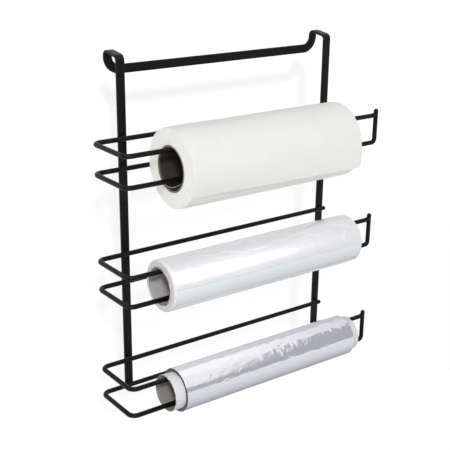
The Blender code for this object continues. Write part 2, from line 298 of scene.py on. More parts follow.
def wound_cling_film(name, low_hex, high_hex):
    """Many turns of clear cling film: milky, glossy, with fine bands round the roll."""
    material, add = new_material(name)
    wrap = add("UVMap", uv_map="wrap")
    # Hard bands run round the roll about 2 mm apart, where the film is a little thick.
    along = add("Mapping", {"Vector": wrap, "Scale": (1, 0.04, 1)})
    # Creases are drawn out along the roll, 5 mm apart and 60 mm long.
    slant = (0, 0, radians(-7))
    slanted = add("Mapping", {"Vector": wrap, "Rotation": slant, "Scale": (0.09, 1, 1)})
    bands, creases, cloud = (
        add(
            "TexNoise",
            {"Vector": place, "Scale": 1 / (size * MM), "Detail": detail, "Roughness": rough},
            **ON_A_SHEET,
        )
        for place, size, detail, rough in (
            (along, 2.2, 3, 0.5), (slanted, 5.5, 4, 0.6), (wrap, 38, 2, 0.5)
        )
    )
    ridges = add("Math", {0: creases, 1: 0.07}, operation="PINGPONG")
    where = add("MapRange", {0: cloud, 1: 0.48, 2: 0.64})
    wrinkled = add("Math", {0: ridges, 1: where}, operation="MULTIPLY")
    glint_hairlines = add("MapRange", {0: wrinkled, 1: 0.052, 2: 0.068, 4: 0.45})
    # Painted highlight: the film is painted white along its creases and in hairlines on its
    # wrinkles, where glints of light would be. Painted shade: its torn edge is a thin grey
    # line.
    creased, torn = (
        add("Attribute", output="Fac", attribute_name=mark) for mark in FILM_MARKS
    )
    painted_glints = add("Math", {0: glint_hairlines, 1: creased}, operation="MAXIMUM")
    milky = add("Mix", {0: bands, 6: low_hex, 7: high_hex}, **COLOURS)
    lined = add("Mix", {0: painted_glints, 6: milky, 7: "#ffffff"}, **COLOURS)
    tone = add("Mix", {0: torn, 6: lined, 7: "#aeb0b6"}, **COLOURS)
    return finish_material(
        material, [(bands, 0.25, 0.03), (wrinkled, 0.9, 1.6)],
        Base_Color=tone, Roughness=0.2, IOR=1.5,
        Coat_Weight=0.4, Coat_Roughness=0.06, Coat_IOR=1.5,
    )


def household_foil():
    """Bright rolled aluminium foil, creased by hand, with rolling lines round the roll."""
    material, add = new_material("household_foil")
    wrap = add("UVMap", uv_map="wrap")
    # Rolling lines are 0.8 mm apart here, coarser than the real ones, so that they show.
    along = add("Mapping", {"Vector": wrap, "Scale": (1, 0.03, 1)})
    lines = add("TexNoise", {"Vector": along, "Scale": 1 / (0.8 * MM)}, **ON_A_SHEET)
    # What hands leave is drawn out along the roll: creases that meet in facets 7 mm wide,
    # and fine streaks 3 mm wide.
    drawn = add("Mapping", {"Vector": wrap, "Scale": (0.35, 1, 1)})
    bent = add("TexNoise", {"Vector": wrap, "Scale": 1 / (9 * MM)}, "Color", **ON_A_SHEET)
    moved = add("VectorMath", {0: bent, 1: (5 * MM,) * 3, 2: drawn}, operation="MULTIPLY_ADD")
    facets = add(
        "TexVoronoi", {"Vector": moved, "Scale": 1 / (7 * MM)},
        voronoi_dimensions="2D", feature="DISTANCE_TO_EDGE",
    )
    creased = add("MapRange", {0: facets, 2: 0.16})
    fine = add(
        "TexNoise",
        {"Vector": drawn, "Scale": 1 / (3 * MM), "Detail": 4, "Roughness": 0.6},
        **ON_A_SHEET,
    )
    cloud = add("TexNoise", {"Vector": wrap, "Scale": 1 / (45 * MM)}, **ON_A_SHEET)
    where = add("MapRange", {0: cloud, 1: 0.42, 2: 0.66, 3: 0.12})
    crumple, streaks = (
        add("Math", {0: marks, 1: where}, operation="MULTIPLY")
        for marks in (creased, fine)
    )
    tone = add("Mix", {0: fine, 6: "#e8e8ea", 7: "#f2f2f4"}, **COLOURS)
    lustre = add("MapRange", {0: lines, 3: 0.10, 4: 0.20})
    return finish_material(
        material, [(lines, 0.25, 0.02), (crumple, 0.4, 0.16), (streaks, 0.6, 0.25)],
        Base_Color=tone, Roughness=lustre, Metallic=1.0,
    )


# Mesh helpers
def new_object(name, bm, materials):
    """An object in the scene with a bmesh's shape."""
    mesh = bpy.data.meshes.new(name)
    bm.to_mesh(mesh)
    bm.free()
    for material in materials:
        mesh.materials.append(material)
    made = bpy.data.objects.new(name, mesh)
    bpy.context.scene.collection.objects.link(made)
    return made


def finish_piece(name, bm, finishes, body, replaced=(), sharp=40):
    """Turn a bmesh into a smooth piece that rides on a body."""
    piece = new_object(name, bm, finishes)
    piece.data.shade_smooth()
    piece.data.set_sharp_from_angle(angle=radians(sharp))
    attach(piece, body)
    if replaced:
        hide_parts(*replaced)


class Bar:
    """A bar of one section, drawn on from its end face by straight pulls and bends."""

    def __init__(self, bm, at, heading):
        self.bm = bm
        self.at = Vector(at)
        self.heading = heading.copy()
        self.share = 1
        self.end = bm.faces[:][0]
        bmesh.ops.translate(bm, verts=bm.verts[:], vec=self.at)

    def end_parts(self):
        """The end face with its edges and points, so that drawing it on leaves no wall."""
        return [self.end, *self.end.edges, *self.end.verts]

    def widen(self, share):
        """Scale the end face, as a share of the full section."""
        grow = (share / self.share,) * 3
        about = Matrix.Translation(-self.at)
        bmesh.ops.scale(self.bm, verts=self.end.verts[:], vec=grow, space=about)
        self.share = share

    def pull(self, length):
        """Draw the bar straight on by a length."""
        drawn = bmesh.ops.extrude_face_region(self.bm, geom=self.end_parts())["geom"]
        points = [part for part in drawn if isinstance(part, bmesh.types.BMVert)]
        step = self.heading * length
        bmesh.ops.translate(self.bm, verts=points, vec=step)
        self.end = next(part for part in drawn if isinstance(part, bmesh.types.BMFace))
        self.at += step

    def pull_to(self, axis, place):
        """Draw the bar straight on to a place along one of the world's axes."""
        self.pull(abs(place - self.at.dot(axis)))

    def bend(self, axis, radius, steps, angle=QUARTER_TURN):
        """Draw the bar on round a bend, turning about an axis."""
        centre = self.at + axis.cross(self.heading) * radius
        turned = bmesh.ops.spin(
            self.bm, geom=self.end_parts(), cent=centre, axis=axis, angle=angle,
            steps=steps, use_duplicate=False,
        )["geom_last"]
        self.end = next(part for part in turned if isinstance(part, bmesh.types.BMFace))
        turn = Matrix.Rotation(angle, 3, axis)
        self.at = centre + turn @ (self.at - centre)
        self.heading = turn @ self.heading

    def dome(self, length, steps, least=0.12, closing=False):
        """Grow from a small start face along a quarter round, or close down to a small end."""
        if not closing:
            self.widen(least)
        done = 0
        for step in range(1, steps + 1):
            angle = QUARTER_TURN * step / steps
            along = length * (sin(angle) if closing else 1 - cos(angle))
            self.pull(along - done)
            self.widen(least + (1 - least) * (cos(angle) if closing else sin(angle)))
            done = along

    def finish(self, name, replaced=()):
        """Coat the bar, as a piece of the rack."""
        bmesh.ops.recalc_face_normals(self.bm, faces=self.bm.faces[:])
        finish_piece(name, self.bm, [coat], "rack", replaced)


def round_section(radius, sides, heading):
    """A round bar's section, square to its heading."""
    bm = bmesh.new()
    bmesh.ops.create_circle(
        bm, cap_ends=True, cap_tris=False, segments=sides, radius=radius,
        matrix=heading.to_track_quat("Z", "Y").to_matrix().to_4x4(),
    )
    return bm


def strip_section():
    """A flat bar's section in the X-Y plane, with its edges rounded."""
    bm = bmesh.new()
    bmesh.ops.create_grid(bm, x_segments=1, y_segments=1, size=0.5)
    bmesh.ops.scale(bm, verts=bm.verts[:], vec=(STRIP_WIDTH, STRIP_THICKNESS, 1))
    bmesh.ops.bevel(
        bm, geom=bm.verts[:], offset=STRIP_EDGE_RADIUS, segments=5, profile=0.5,
        affect="VERTICES", material=-1,
    )
    return bm


def turn_profile(points, centre, sides):
    """Turn a closed profile of (x, radius) points about a line along X."""
    bm = bmesh.new()
    ring = [bm.verts.new((x, 0, radius)) for x, radius in points]
    edges = [bm.edges.new((a, b)) for a, b in zip(ring, ring[1:] + ring[:1])]
    bmesh.ops.spin(
        bm, geom=ring + edges, cent=(0, 0, 0), axis=X_AXIS, angle=2 * pi,
        steps=sides, use_merge=True, use_duplicate=False,
    )
    bmesh.ops.recalc_face_normals(bm, faces=bm.faces[:])
    bmesh.ops.translate(bm, verts=bm.verts[:], vec=centre)
    return bm


def polar(point, centre):
    """Distance from a roll's axis, and the angle from its front, growing downwards."""
    y, z = point.y - centre.y, point.z - centre.z
    return (y * y + z * z) ** 0.5, atan2(-z, -y)


def polar_point(x, radius, angle, centre):
    """The point at a distance and an angle from a roll's axis."""
    return Vector((x, centre.y - radius * cos(angle), centre.z - radius * sin(angle)))


def wrap_map(bm, centre, per_turn):
    """A UV map of metres along the roll and of distance round it, per_turn to a turn."""
    layer = bm.loops.layers.uv.new("wrap")
    for face in bm.faces:
        middle = polar(face.calc_center_median(), centre)[1]
        for loop in face.loops:
            angle = polar(loop.vert.co, centre)[1]
            if angle - middle > pi:
                angle -= 2 * pi
            elif middle - angle > pi:
                angle += 2 * pi
            loop[layer].uv = (loop.vert.co.x, angle / (2 * pi) * per_turn)


def mark_ends(bm, slot, steepness=0.7):
    """Give the faces that look along the roll another material slot."""
    for face in bm.faces:
        if abs(face.normal.x) > steepness:
            face.material_index = slot


def ripple(x, angle, size, seed):
    """Smooth noise on a roll's surface, from -1 to 1, that closes round the roll."""
    around = NOISE_RADIUS / size
    place = Vector((x / size, around * cos(angle), around * sin(angle)))
    return noise.noise(place + Vector((seed, seed * 0.37, -seed)))


def smooth_step(share):
    """A share from 0 to 1, eased at both ends and held beyond them."""
    share = min(max(share, 0), 1)
    return share * share * (3 - 2 * share)


def creases_near(x, angle, radius, creases):
    """Each crease's height in metres, and how near it is to a place, from 0 to 1.

    A crease is its start and end, along the roll in mm and in degrees above its front,
    then its height and half width in mm. It bows a little and fades out past its ends.
    """
    overrun = 0.2
    along = -angle * radius
    for x0, up0, x1, up1, height, width in creases:
        start = Vector((x0 * MM, radians(up0) * radius))
        line = Vector((x1 * MM, radians(up1) * radius)) - start
        reach = line.length
        offset = Vector((x, along)) - start
        share = offset.dot(line) / (reach * reach)
        if -overrun < share < 1 + overrun:
            bow = 0.08 * reach * sin(pi * share)
            side = (offset.x * line.y - offset.y * line.x) / reach - bow
            fade = smooth_step((share + overrun) * 3) * smooth_step((1 + overrun - share) * 3)
            yield height * MM, fade / (1 + (side / (width * MM)) ** 2) ** 1.5


def crease_height(x, angle, radius, creases):
    """The height of a set of creases at a place on a roll, in metres."""
    return sum(high * near for high, near in creases_near(x, angle, radius, creases))


def steps_between(start, stop, size):
    """Even steps from start to stop, both included, no longer than size."""
    count = max(1, ceil(abs(stop - start) / size))
    return [start + (stop - start) * step / count for step in range(count + 1)]


# Steel frame
coat = satin_powder_coat()


def bend_strip():
    """One strip: up, over the door, down, across behind it and back the same way.

    The hooks' tops rise to the rear, and the middle of their undersides is at height 0.
    """
    end_share, end_steps = 0.93, 4
    hook_steps, bar_steps = 16, 24
    over = STRIP_HIGH.y - CROWN - FRONT_Y - 2 * HOOK_BEND_RADIUS
    slope = atan2(HOOK_RISE, over)
    front_turn, rear_turn = QUARTER_TURN - slope, QUARTER_TURN + slope
    bar = Bar(strip_section(), (LEFT_X, FRONT_Y, STRIP_LOW.z), Z_AXIS)

    def bend_hook(axis, first_turn, second_turn):
        bar.bend(axis, HOOK_BEND_RADIUS, hook_steps, first_turn)
        bar.pull(hypot(over, HOOK_RISE))
        bar.bend(axis, HOOK_BEND_RADIUS, hook_steps, second_turn)

    bar.dome(STRIP_END_ROUND, end_steps, end_share)
    bar.pull_to(Z_AXIS, (CROWN - HOOK_BEND_RADIUS) * cos(slope) - HOOK_RISE / 2)
    bend_hook(-X_AXIS, front_turn, rear_turn)
    bar.pull(BACK_LEG_LENGTH)
    bar.bend(-Y_AXIS, BAR_BEND_RADIUS, bar_steps)
    bar.pull_to(X_AXIS, RIGHT_X - BAR_BEND_RADIUS)
    bar.bend(-Y_AXIS, BAR_BEND_RADIUS, bar_steps)
    bar.pull(BACK_LEG_LENGTH)
    bend_hook(X_AXIS, rear_turn, front_turn)
    bar.pull_to(Z_AXIS, STRIP_LOW.z + STRIP_END_ROUND)
    bar.dome(STRIP_END_ROUND, end_steps, end_share, closing=True)
    bar.finish("bent_strip_frame", ["strip_frame"])


def bend_wire(tier, place):
    """A wire's rail, side run and arm. The lower one of a pair turns up at its end."""
    node = f"wire_{tier}_{place}"
    low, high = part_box(node)
    rail_z = low.z + WIRE_RADIUS
    rail_y = high.y - WIRE_RADIUS
    arm_y = low.y + WIRE_RADIUS
    side_x = low.x + WIRE_RADIUS
    start = (RIGHT_X + STRIP_WIDTH / 2 + RAIL_OVERHANG, rail_y, rail_z)
    wire = Bar(round_section(WIRE_RADIUS, 28, -X_AXIS), start, -X_AXIS)
    wire.dome(WIRE_RADIUS * 0.8, 6)
    wire.pull_to(X_AXIS, side_x + CORNER_BEND_RADIUS)
    wire.bend(Z_AXIS, CORNER_BEND_RADIUS, 18)
    wire.pull_to(Y_AXIS, arm_y + CORNER_BEND_RADIUS)
    wire.bend(Z_AXIS, CORNER_BEND_RADIUS, 18)
    if place == "upper":
        wire.pull_to(X_AXIS, high.x + SEAT_GAP)
    else:
        wire.pull_to(X_AXIS, high.x - WIRE_RADIUS - STOP_BEND_RADIUS)
        wire.bend(-Y_AXIS, STOP_BEND_RADIUS, 16)
        wire.pull_to(Z_AXIS, high.z - WIRE_RADIUS)
        wire.dome(WIRE_RADIUS, 7, closing=True)
    wire.finish(f"bent_{node}", [node])
    return rail_z, arm_y, high.x


def weld_crossing(name, x, rail_z):
    """The flash of a resistance weld, squeezed out between a wire and the strip."""
    half_depth, half_height = 1.35 * MM, 3.0 * MM
    length = STRIP_WIDTH * 0.92
    lump_size, lump_height = 1.3 * MM, 0.12 * MM
    middle_y = STRIP_LOW.y - 0.35 * MM
    section = round_section(1, 20, X_AXIS)
    bmesh.ops.scale(section, verts=section.verts[:], vec=(1, half_depth, half_height))
    bead = Bar(section, (x - length / 2, middle_y, rail_z), X_AXIS)
    bead.dome(length * 0.3, 6)
    bead.pull(length * 0.4)
    bead.dome(length * 0.3, 6, closing=True)
    for point in bead.bm.verts:
        lump = noise.noise(point.co / lump_size + Vector((x, 0, rail_z)) * 90)
        point.co.z += lump_height * lump
    bead.finish(name)


def weld_butt(name, end_x, arm_y, z):
    """The ring of weld where an upper arm ends against its end stop."""
    reach = 1.5 * MM
    start = (end_x - reach, arm_y, z)
    ring = Bar(round_section(WIRE_RADIUS, 24, X_AXIS), start, X_AXIS)
    ring.widen(0.97)
    for share in (1.02, 1.07, 1.16, 1.24, 1.22, 1.08, 0.85):
        ring.pull(reach / 3.5)
        ring.widen(share)
    ring.finish(name)


bend_strip()
for tier in ("top", "middle", "bottom"):
    for place in ("upper", "lower"):
        rail_z, arm_y, end_x = bend_wire(tier, place)
        weld_crossing(f"weld_{tier}_{place}_left", LEFT_X, rail_z)
        weld_crossing(f"weld_{tier}_{place}_right", RIGHT_X, rail_z)
        if place == "upper":
            weld_butt(f"weld_{tier}_stop", end_x, arm_y, rail_z)


# Shapes that the rolls share
def face_outwards(bm, centre):
    """Turn a bent sheet's faces away from the roll's axis."""
    bm.normal_update()
    for face in bm.faces:
        outward = face.calc_center_median() - centre
        if face.normal.y * outward.y + face.normal.z * outward.z < 0:
            face.normal_flip()


def bend_sheet(roll, columns, rows, place_at, marks=()):
    """A sheet bent round a roll, with a UV map in metres and a share for each mark.

    place_at takes a point's shares across and down the sheet. It gives x, the angle, the
    radius, the angle by which the edge is torn back there, and the marks' shares.
    """
    bm = bmesh.new()
    bmesh.ops.create_grid(bm, x_segments=columns, y_segments=rows, size=0.5)
    wrap_layer = bm.loops.layers.uv.new("wrap")
    mark_layers = [bm.verts.layers.float.new(mark) for mark in marks]
    places = {}
    for point in bm.verts:
        x, angle, radius, tear, *shares = place_at(point.co.x + 0.5, point.co.y + 0.5)
        for layer, share in zip(mark_layers, shares):
            point[layer] = share
        places[point] = (x, angle * roll.outer)
        point.co = polar_point(x, radius, angle - tear, roll.axis)
    for face in bm.faces:
        for loop in face.loops:
            loop[wrap_layer].uv = places[loop.vert]
    face_outwards(bm, roll.axis)
    return bm


def finish_sheet(name, bm, thickness, finish, roll):
    """Give a bent sheet its thickness, as a piece that turns with a roll."""
    bmesh.ops.solidify(bm, geom=bm.faces[:], thickness=thickness)
    bmesh.ops.recalc_face_normals(bm, faces=bm.faces[:])
    finish_piece(name, bm, [finish], roll.body)


def wind_turns(roll, rim, rim_steps, pitch, depth, seeds, spacing, sides, centre=None):
    """A winding, with rounded rims and ends where the turns' edges stand unevenly.

    The edges are pitch apart and up to depth deep, with one seed for each end. The
    profile's points are at most spacing apart along the roll.
    """
    ends = []
    for seed in seeds:
        end = []
        for step, radius in enumerate(steps_between(roll.inner, roll.outer - rim, pitch)):
            uneven = noise.noise(Vector((radius / (1.7 * pitch), seed, step % 2)))
            end.append((roll.half - depth * (0.5 - 0.5 * uneven), radius))
        for step in range(1, rim_steps + 1):
            angle = QUARTER_TURN * step / rim_steps
            x = roll.half - rim + rim * cos(angle)
            end.append((x, roll.outer - rim + rim * sin(angle)))
        ends.append(end)
    right, left = ends
    flat = roll.half - rim
    outside = [(x, roll.outer) for x in steps_between(flat, -flat, spacing)[1:-1]]
    mirrored = [(-x, radius) for x, radius in reversed(left)]
    return turn_profile(right + outside + mirrored, centre or roll.axis, sides)


def press_relief(bm, roll, relief):
    """Move a winding's outside in or out by a relief that fades towards its bore."""
    for point in bm.verts:
        radius, angle = polar(point.co, roll.axis)
        depth = (radius - roll.inner) / (roll.outer - roll.inner)
        moved = radius + relief(point.co.x, angle) * max(depth, 0) ** 3
        point.co = polar_point(point.co.x, moved, angle, roll.axis)


def finish_winding(name, bm, roll, finishes, steepness, sharp=40):
    """Map a winding, and give its ends the second finish where they are steep enough."""
    wrap_map(bm, roll.axis, 2 * pi * roll.outer)
    bm.normal_update()
    mark_ends(bm, 1, steepness)
    finish_piece(name, bm, finishes, roll.body, [f"{roll.name}_winding"], sharp)


# Tubes of the rolls
def make_tube(roll, finishes):
    """A spiral-wound cardboard tube. Its slots are outside, inside and cut ends."""
    outer, inner = roll.core_radius, roll.core_radius - TUBE_WALL
    half = (roll.core_high.x - roll.core_low.x) / 2
    edge, unevenness, spacing = 0.25 * MM, 0.10 * MM, 12 * MM
    flat = half - edge
    outside = [(x, outer) for x in steps_between(-flat, flat, spacing)]
    inside = [(x, inner) for x in steps_between(flat, -flat, spacing)]
    left_end = [(-half, inner + edge), (-half, (inner + outer) / 2), (-half, outer - edge)]
    right_end = [(-x, radius) for x, radius in reversed(left_end)]
    bm = turn_profile(outside + right_end + inside + left_end, roll.axis, 128)
    for point in bm.verts:
        radius, angle = polar(point.co, roll.axis)
        # The saw leaves the cut a little uneven, and the tube is a little out of round.
        if abs(abs(point.co.x - roll.axis.x) - half) < edge / 2:
            point.co.x += unevenness * ripple(point.co.x, angle, 5 * MM, 3.1)
        out_of_round = unevenness * cos(2 * angle) - unevenness
        point.co = polar_point(point.co.x, radius + out_of_round, angle, roll.axis)
    wrap_map(bm, roll.axis, 1.0)
    bm.normal_update()
    for face in bm.faces:
        radius = polar(face.calc_center_median(), roll.axis)[0]
        face.material_index = 0 if radius > outer - TUBE_WALL / 2 else 1
    mark_ends(bm, 2)
    finish_piece(f"{roll.name}_tube", bm, finishes, roll.body, [f"{roll.name}_core"])


# Painted shade: the paper tube's board is far darker than brown board, and stands in for the
# shade inside its bore.
shaded_brown_liner = wound_board(
    "brown_wound_board", paper, "#35302a", "#48413a", "#82796e", 62, 1.6, "#c4bbb0"
)
grey_liner = wound_board(
    "grey_wound_board", film, "#b6b2b5", "#cac6c8", "#d6d2d3", 70, 1.2, "#d2ced0"
)
white_liner = wound_board(
    "white_paper_lined_board", foil, "#e2e0e3", "#eeecee", "#d6d3d7", 58, 0.9, "#e4e1e3"
)
mottled_liner = wound_board(
    "mottled_grey_board", foil, "#8f8c86", "#aba8a1", "#bab7b0", 58, 1.2, "#bdbab3"
)
brown_cut = cut_board("sawn_brown_board", "#8f8779", "#b5ad9f")
tan_cut = cut_board("sawn_tan_board", "#84603f", "#a37b55")
grey_cut = cut_board("sawn_grey_board", "#867a69", "#ada28f")
pale_ply = cut_board("pale_loose_ply", "#c2bcb1", "#d8d2c8")

make_tube(paper, [shaded_brown_liner, shaded_brown_liner, brown_cut])
make_tube(film, [grey_liner, grey_liner, tan_cut])
make_tube(foil, [white_liner, mottled_liner, grey_cut])


def lay_loose_ply():
    """A thin strip of the paper tube's inner ply that has come loose near its left end."""
    width, thickness, gap = 1.1 * MM, 0.12 * MM, 0.3 * MM
    start, reach = 1.0 * MM, 19.0 * MM
    inner = paper.core_radius - TUBE_WALL
    bm = bmesh.new()
    bmesh.ops.create_grid(bm, x_segments=32, y_segments=1, size=0.5)
    for point in bm.verts:
        share, across = point.co.x + 0.5, point.co.y * width
        x = paper.core_low.x + start + reach * share ** 1.2 + across
        # Degrees by which its end at the cut and its far end hang lower than its middle.
        dip = 16 * max(1 - 2.6 * share, 0) ** 2 + 9 * max((share - 0.45) / 0.55, 0) ** 1.5
        angle = radians(106 + dip) + across / inner
        point.co = polar_point(x, inner - gap, angle, paper.axis)
    finish_sheet("paper_tube_loose_ply", bm, thickness, pale_ply, paper)


lay_loose_ply()


# Paper roll
tissue = embossed_tissue()
tissue_edges = layered_end(
    "sawn_tissue_edges", paper, 0.42, "#dededa", "#fbfbf8", 0.16,
    Roughness=0.95, Specular_IOR_Level=0.2,
)
SHEET_THICKNESS = 0.6 * MM
SHEET_INSET = 0.25 * MM
LOOSE_RISE = 2.2 * MM
FLARE_LEFT = 0.8 * MM
FLARE_RIGHT = 5.2 * MM
LIFT_ANGLE = radians(-205)
FREE_ANGLE = radians(-140)
FLARE_ANGLE = radians(-15)
EDGE_ANGLE = radians(30)
SLACK_END_ANGLE = radians(155)


def slack_share(angle):
    """How far the turns under the loose one have sprung out with it, from 0 to 1."""
    if angle > SLACK_END_ANGLE:
        angle -= 2 * pi
    rising = smooth_step((angle - LIFT_ANGLE) / (FREE_ANGLE - LIFT_ANGLE))
    return rising * (1 - smooth_step((angle - EDGE_ANGLE) / radians(100)))


def turn_paper_roll():
    """The tight turns of the kitchen paper, with sawn ends and softly rounded rims."""
    softness, dish_depth, end_share = 0.16 * MM, 0.22 * MM, 0.97
    bm = wind_turns(
        paper, rim=1.1 * MM, rim_steps=5, pitch=0.55 * MM, depth=0.28 * MM,
        seeds=(5.0, 9.0), spacing=6 * MM, sides=144,
    )
    for point in bm.verts:
        x = point.co.x
        radius, angle = polar(point.co, paper.axis)
        depth = (radius - paper.inner) / (paper.outer - paper.inner)
        soft = min(softness * ripple(x, angle, 22 * MM, 1.7), 0) * depth
        swell = LOOSE_RISE * 0.85 * slack_share(angle) * max(depth, 0) ** 2
        dish = dish_depth * ripple(radius * 2, angle, 9 * MM, 7.3) - dish_depth
        side = (x - paper.axis.x) / paper.half
        if abs(side) > end_share:
            x += dish * (1 if side > 0 else -1)
        point.co = polar_point(x, radius + swell + soft, angle, paper.axis)
    finish_winding("paper_tight_turns", bm, paper, [tissue, tissue_edges], 0.6)


def drape_outer_sheet():
    """The outer turn, sprung loose. Its free edge is torn along a line of perforations."""
    columns, rows = 176, 150
    low_x, high_x = paper.low.x + SHEET_INSET, paper.high.x - SHEET_INSET
    start, stop = LIFT_ANGLE + radians(4), EDGE_ANGLE
    tuck, slump, wave_height, bow, bow_width = (size * MM for size in (0.2, 0.35, 0.30, 0.5, 4))

    def place_at(across, down):
        x = low_x + across * (high_x - low_x)
        angle = start + down * (stop - start)
        lift = smooth_step((angle - LIFT_ANGLE) / (FREE_ANGLE - LIFT_ANGLE))
        flare = max((angle - FLARE_ANGLE) / (EDGE_ANGLE - FLARE_ANGLE), 0) ** 2
        flare *= FLARE_LEFT + (FLARE_RIGHT - FLARE_LEFT) * across
        wave = ripple(x, angle, 26 * MM, 2.3) + 0.5 * ripple(x, angle, 11 * MM, 8.9)
        radius = paper.outer - tuck + (LOOSE_RISE + SHEET_THICKNESS) * lift
        radius += flare + wave_height * wave * lift - slump * lift
        # The cut edges bow in a little, and the torn edge has a tooth at each cut.
        edge = min(across, 1 - across) * (high_x - low_x)
        radius -= bow * max(1 - edge / bow_width, 0) ** 2 * lift
        tooth = round(across * columns) % 2 if down > 0.999 else 0
        tear = (0.005 + 0.004 * noise.noise(Vector((x / (3 * MM), 0, 4)))) * tooth
        return x, angle, radius, tear

    bm = bend_sheet(paper, columns, rows, place_at)
    thickness = SHEET_THICKNESS * 0.8
    finish_sheet("paper_loose_turn", bm, thickness, tissue, paper)


turn_paper_roll()
drape_outer_sheet()


# Film roll
# Marks on the film's outer turn: painted highlight along its creases, and painted shade along
# its torn edge.
FILM_MARKS = ("crease", "torn_edge")
clear_film = wound_cling_film("wound_cling_film", "#e8e7eb", "#f0eff3")
# Painted shade: the winding below the free edge has a cooler, bluer copy of the film's colour,
# which stands in for the cool shade on the roll's lower part.
shade_tinted_film = wound_cling_film("wound_cling_film_in_shade", "#e8edef", "#f0f4f6")
film_edges = layered_end(
    "cling_film_edges", film, 0.5, "#d3d2d6", "#eeeef1", 0.12, Roughness=0.35, IOR=1.5
)
TAIL_INSET = 3.0 * MM
TAIL_THICKNESS = 0.05 * MM
TAIL_TURN = radians(190)
TAIL_EDGE_ANGLE = radians(-7)

# Creases on the film, in the terms of creases_near.
FILM_CREASES = (
    (-62, 68, -12, 57, 0.24, 1.1), (-40, 62, -8, 53, -0.16, 1.0),
    (-30, 86, -18, 74, 0.20, 0.9), (-96, 76, -60, 70, 0.12, 1.2),
    (46, 66, 64, 52, 0.26, 0.9), (52, 58, 66, 48, 0.20, 0.8),
    (73, 68, 79, 50, 0.22, 0.8), (80, 76, 96, 62, 0.24, 0.9),
    (88, 70, 108, 60, -0.20, 0.9), (60, 80, 76, 70, 0.18, 0.9),
    (101, 44, 95, 22, 0.16, 0.9), (96, 62, 112, 54, 0.20, 0.9),
    (20, 74, 44, 68, 0.14, 0.9), (-2, 70, 26, 62, 0.12, 1.0),
    (10, 80, 60, 72, 0.10, 0.8), (84, 82, 112, 74, 0.12, 0.8),
    (106, 70, 114, 40, 0.12, 0.8), (-84, 62, -52, 55, 0.08, 0.9),
)


def film_relief(x, angle):
    """How far the film's outside lies above or below its mean, in metres."""
    bands = noise.noise(Vector((x / (17 * MM), 2.2, 0)))
    fine = noise.noise(Vector((x / (4.5 * MM), 7.7, 0)))
    slack = ripple(x, angle, 30 * MM, 5.9)
    drawn = crease_height(x, angle, film.outer, FILM_CREASES)
    return drawn + MM * (0.04 * bands + 0.012 * fine + 0.05 * slack - 0.20)


def turn_film_roll():
    """The cling film, with rims rounded where its turns have slipped."""
    bm = wind_turns(
        film, rim=2.4 * MM, rim_steps=10, pitch=0.5 * MM, depth=0.16 * MM,
        seeds=(2.0, 6.0), spacing=1.2 * MM, sides=190,
    )
    press_relief(bm, film, film_relief)
    finish_winding("film_turns", bm, film, [shade_tinted_film, film_edges], 0.8)


def lay_film_tail():
    """The last turn of film from the back over the top, down to its free edge."""
    low_x, high_x = film.low.x + TAIL_INSET, film.high.x - TAIL_INSET
    rise, sink, lip_height, tuck_depth, tuck_width = (
        size * MM for size in (0.10, 0.04, 0.20, 0.12, 2)
    )

    def place_at(across, down):
        x = low_x + across * (high_x - low_x)
        wander = 0.035 * noise.noise(Vector((x / (40 * MM), 0, 1))) + 0.03 * across
        edge = TAIL_EDGE_ANGLE + wander
        angle = edge - TAIL_TURN * (1 - down) ** 1.25
        height = smooth_step(down * 3) * rise - sink
        lip = lip_height * smooth_step((angle - edge) / radians(3) + 1)
        side = min(across, 1 - across) * (high_x - low_x)
        tuck = tuck_depth * max(1 - side / tuck_width, 0)
        radius = film.outer + film_relief(x, angle) + height + lip - tuck
        # Painted highlight: the crease mark whitens the film along its creases, where glints
        # would be.
        lines = creases_near(x, angle, film.outer, FILM_CREASES)
        creased = max((near ** 3 for _, near in lines), default=0)
        # Painted shade: the torn edge mark draws a thin grey line along the free edge, serrated
        # and fading to the right.
        serration = noise.noise(Vector((x / (1.6 * MM), 0, 6)))
        edge_shade_share = (0.6 + 0.6 * serration) * (1 - 0.75 * across)
        torn = edge_shade_share if angle > edge - radians(1.2) else 0
        return x, angle, radius, 0, creased, torn

    bm = bend_sheet(film, 300, 130, place_at, FILM_MARKS)
    finish_sheet("film_outer_turn", bm, TAIL_THICKNESS, clear_film, film)


turn_film_roll()
lay_film_tail()


# Foil roll
bright_foil = household_foil()
# Painted shade: the end faces are a dark grey metal, which stands in for the shade of the dark
# ring at the foil's ends.
shaded_foil_edges = layered_end(
    "foil_layer_edges", foil, 0.3, "#404448", "#74787c", 0.10,
    Metallic=1.0, Roughness=0.45,
)
FOIL_MIDDLE = Vector(((foil.low.x + foil.high.x) / 2, foil.axis.y, foil.axis.z))
WIDE_FACET = 7 * MM
SMALL_FACET = 4.6 * MM
LEFT_FACET_LENGTH = 20 * MM
RIGHT_FACET_LENGTH = 8 * MM

